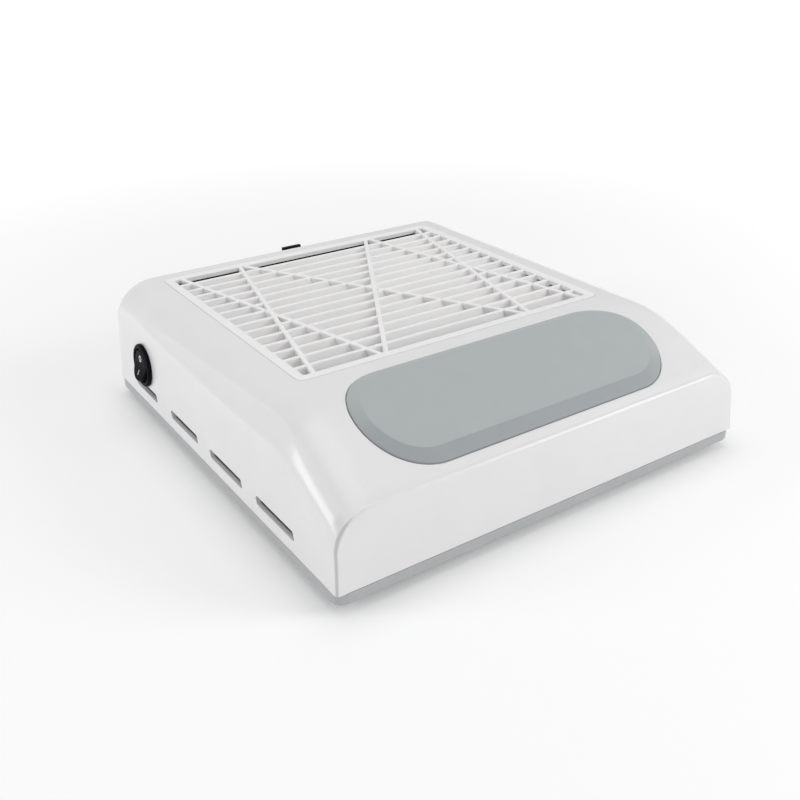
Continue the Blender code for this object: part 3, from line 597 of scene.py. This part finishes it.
def make_switch():
    body = [(POCKET_R, BEZEL_PROUD - 0.5), (POCKET_R, -7.0), (0.8, -7.0), (0.8, -9.5), (9.5, -9.5),
            (9.5, GAP), (BEZEL_R - 0.2, GAP), (BEZEL_R, GAP + 0.2)]
    body += [(BEZEL_R - 1.1 + 1.1 * math.cos(a), BEZEL_PROUD - 1.1 + 1.1 * math.sin(a))
             for a in [math.pi / 2 * k / 6 for k in range(7)]]
    body += [(POCKET_R + 0.5 - 0.5 * math.sin(a), BEZEL_PROUD - 0.5 + 0.5 * math.cos(a))
             for a in [math.pi / 2 * k / 4 for k in range(4)]]
    shell = solid("switch_shell", placed(turned(body, 72), SWITCH))
    dress(shell, "switch_black", "casing", 40, ("switch_body",))

    level = math.tan(math.radians(ROCKER_TILT))
    reach, top_mid = 8.35, 1.2

    def surface(x, y):
        """The rocker's face: two flats that dip to the middle, with a rounded edge."""
        r = math.hypot(x, y)
        over = max(0.0, (r - (reach - 0.9)) / 0.9)
        return top_mid + level * (math.hypot(y, 1.1) - 0.55) - 0.9 * (1 - math.sqrt(max(0.0, 1 - over ** 2)))

    count, radii = 64, [0.9, 2.0, 3.2, 4.4, 5.6, 6.6, 7.3, 7.7, 8.0, 8.2, 8.3, 8.35]
    rings = []
    for r in radii:
        rings.append([(x, y, surface(x, y)) for x, y in circle(r, count)])
    rings.append([(x, y, -1.0) for x, y in circle(reach, count)])
    rings.append([(x, y, -2.9) for x, y in circle(7.9, count)])
    rings.append([(x, y, -4.6) for x, y in circle(4.6, count)])
    tilt = Matrix.Rotation(math.radians(-ROCKER_TILT), 4, "X")
    rocker_place = SWITCH @ Matrix.Translation((0, 0, PIVOT_OUT)) @ tilt
    rocker = solid("rocker_cap", placed(loft(rings), rocker_place))
    dress(rocker, "switch_black", "rocker_switch", 45, ("rocker",))

    ring_mark = []
    for k in range(40):
        a = 2 * math.pi * k / 40
        for_ring = []
        for r, lift in ((0.95, 0.02), (1.55, 0.02), (1.55, 0.09), (0.95, 0.09)):
            x, y = r * math.cos(a), 3.6 + 1.15 * r * math.sin(a)
            for_ring.append((x, y, surface(x, y) + lift - 0.05))
        ring_mark.append(for_ring)
    off_mark = solid("rocker_mark_off", placed(loft(ring_mark, closed=True), rocker_place))
    dress(off_mark, "mark_white", "rocker_switch", 40)
    bar = []
    for y in (-5.3, -4.5, -3.5, -2.6):
        bar.append([(x, y, surface(x, y) + lift) for x, lift in
                    ((-0.3, -0.03), (0.3, -0.03), (0.3, 0.04), (-0.3, 0.04))])
    on_mark = solid("rocker_mark_on", placed(loft(bar), rocker_place))
    dress(on_mark, "mark_white", "rocker_switch", 40)


# ---------------------------------------------------------------- carried-over nodes

SMALL_EDGE = 0.15
SOFT_EDGES = {"base_shell": 0.6, "foot_front_left": 0.4, "foot_front_right": 0.4,
              "foot_rear_left": 0.4, "foot_rear_right": 0.4, "filter_frame": 0.4}


def dress_cad_nodes():
    """Finish for the CAD nodes that stay, from their record slots, with soft edges."""
    slots = {entry["node"]: entry["material_slot"] for entry in frame["record"]["subparts"]}
    for name, thing in frame["nodes"].items():
        finish = MATERIALS[slots[name]]
        for slot in thing.material_slots:
            slot.material = finish
        weld = thing.modifiers.new("Weld", "WELD")
        weld.merge_threshold = 0.00001
        flats = thing.modifiers.new("Flats", "DECIMATE")
        flats.decimate_type = "DISSOLVE"
        flats.angle_limit = math.radians(0.5)
        soft = thing.modifiers.new("Soft edges", "BEVEL")
        soft.width, soft.segments = SOFT_EDGES.get(name, SMALL_EDGE) * MM, 2
        soft.limit_method, soft.angle_limit = "ANGLE", math.radians(40)
        even = thing.modifiers.new("Even normals", "WEIGHTED_NORMAL")
        even.keep_sharp = True


# ---------------------------------------------------------------- stage

def area_light(name, place, size, watts):
    """A square lamp at place, in metres, that faces the object."""
    data = bpy.data.lights.new(name, "AREA")
    data.shape, data.size, data.energy = "SQUARE", size, watts
    thing = bpy.data.objects.new(name, data)
    bpy.context.collection.objects.link(thing)
    thing.location = place
    thing.rotation_euler = (Vector(LIGHT_AIM) - Vector(place)).to_track_quat("-Z", "Y").to_euler()


FLOOR_HALF = 6.0
LIGHT_AIM = (0, 0, 0.03)
LIGHTS = (("left", (-1.0, 0.36, 0.42), 0.35, 1.8), ("left_wide", (-1.1, 0.1, 0.7), 0.9, 0.7),
          ("right", (0.75, -0.75, 0.55), 0.5, 4.0), ("top", (0.0, 0.0, 1.3), 1.0, 3.0),
          ("rear", (0.2, 1.2, 0.8), 1.0, 0.5))


def make_stage():
    half = FLOOR_HALF
    floor_mesh = bpy.data.meshes.new("floor")
    floor_mesh.from_pydata([(-half, -half, 0), (half, -half, 0), (half, half, 0), (-half, half, 0)],
                           [], [(0, 1, 2, 3)])
    floor = bpy.data.objects.new("floor", floor_mesh)
    bpy.context.collection.objects.link(floor)
    floor.location.z = -0.0002
    pale = material("studio_floor", (0.93, 0.93, 0.93), 0.9, specular=0.1)
    pale.node_tree.nodes["Principled BSDF"].inputs["Emission Color"].default_value = (1, 1, 1, 1)
    nodes, links = pale.node_tree.nodes, pale.node_tree.links
    away = nodes.new("ShaderNodeVectorMath")
    away.operation = "LENGTH"
    links.new(nodes.new("ShaderNodeTexCoord").outputs["Object"], away.inputs[0])
    glow = nodes.new("ShaderNodeMapRange")
    glow.interpolation_type = "SMOOTHSTEP"
    links.new(away.outputs["Value"], glow.inputs["Value"])
    glow.inputs["From Min"].default_value, glow.inputs["From Max"].default_value = 0.2, 1.3
    glow.inputs["To Min"].default_value, glow.inputs["To Max"].default_value = 0.10, 0.60
    links.new(glow.outputs["Result"], nodes["Principled BSDF"].inputs["Emission Strength"])
    floor.data.materials.append(pale)

    world = bpy.data.worlds.new("studio")
    bpy.context.scene.world = world
    world.use_nodes = True
    nodes, links = world.node_tree.nodes, world.node_tree.links
    slope = nodes.new("ShaderNodeVectorMath")
    slope.operation = "DOT_PRODUCT"
    slope.inputs[1].default_value = (0.0, 0.78, 0.62)
    links.new(nodes.new("ShaderNodeTexCoord").outputs["Generated"], slope.inputs[0])
    fade = nodes.new("ShaderNodeMapRange")
    fade.interpolation_type = "SMOOTHSTEP"
    links.new(slope.outputs["Value"], fade.inputs["Value"])
    fade.inputs["From Min"].default_value, fade.inputs["From Max"].default_value = -0.8, 0.8
    fade.inputs["To Min"].default_value, fade.inputs["To Max"].default_value = 0.50, 0.58
    links.new(fade.outputs["Result"], nodes["Background"].inputs["Strength"])
    nodes["Background"].inputs["Color"].default_value = (1, 1, 1, 1)
    for name, place, size, watts in LIGHTS:
        area_light(name, place, size, watts)
    bpy.context.scene.view_settings.view_transform = "Standard"


CAMERA_TURN = (33.90, 27.28, -0.71)
CAMERA_PLACE = Vector((-248.4, -363.2, 231.9 + FOOT_H))
CAMERA_LENS = 41.57


def make_camera():
    """The viewpoint, placed by its yaw, pitch down and roll in degrees."""
    yaw, pitch, roll = (math.radians(a) for a in CAMERA_TURN)
    ahead = Vector((math.sin(yaw) * math.cos(pitch), math.cos(yaw) * math.cos(pitch),
                    -math.sin(pitch)))
    level = Vector((math.cos(yaw), -math.sin(yaw), 0))
    up = level.cross(ahead)
    right = math.cos(roll) * level + math.sin(roll) * up
    up = math.cos(roll) * up - math.sin(roll) * level
    data = bpy.data.cameras.new("camera")
    data.lens, data.sensor_width = CAMERA_LENS, 36.0
    camera = bpy.data.objects.new("camera", data)
    bpy.context.collection.objects.link(camera)
    turn = Matrix((right, up, -ahead)).transposed().to_4x4()
    place = ORIGIN + CAMERA_PLACE * MM
    camera.matrix_world = Matrix.Translation(place) @ turn
    bpy.context.scene.camera = camera


MATERIALS = make_materials()
make_camera()
make_stage()
make_housing()
make_hand_rest()
make_grille()
make_switch()
dress_cad_nodes()
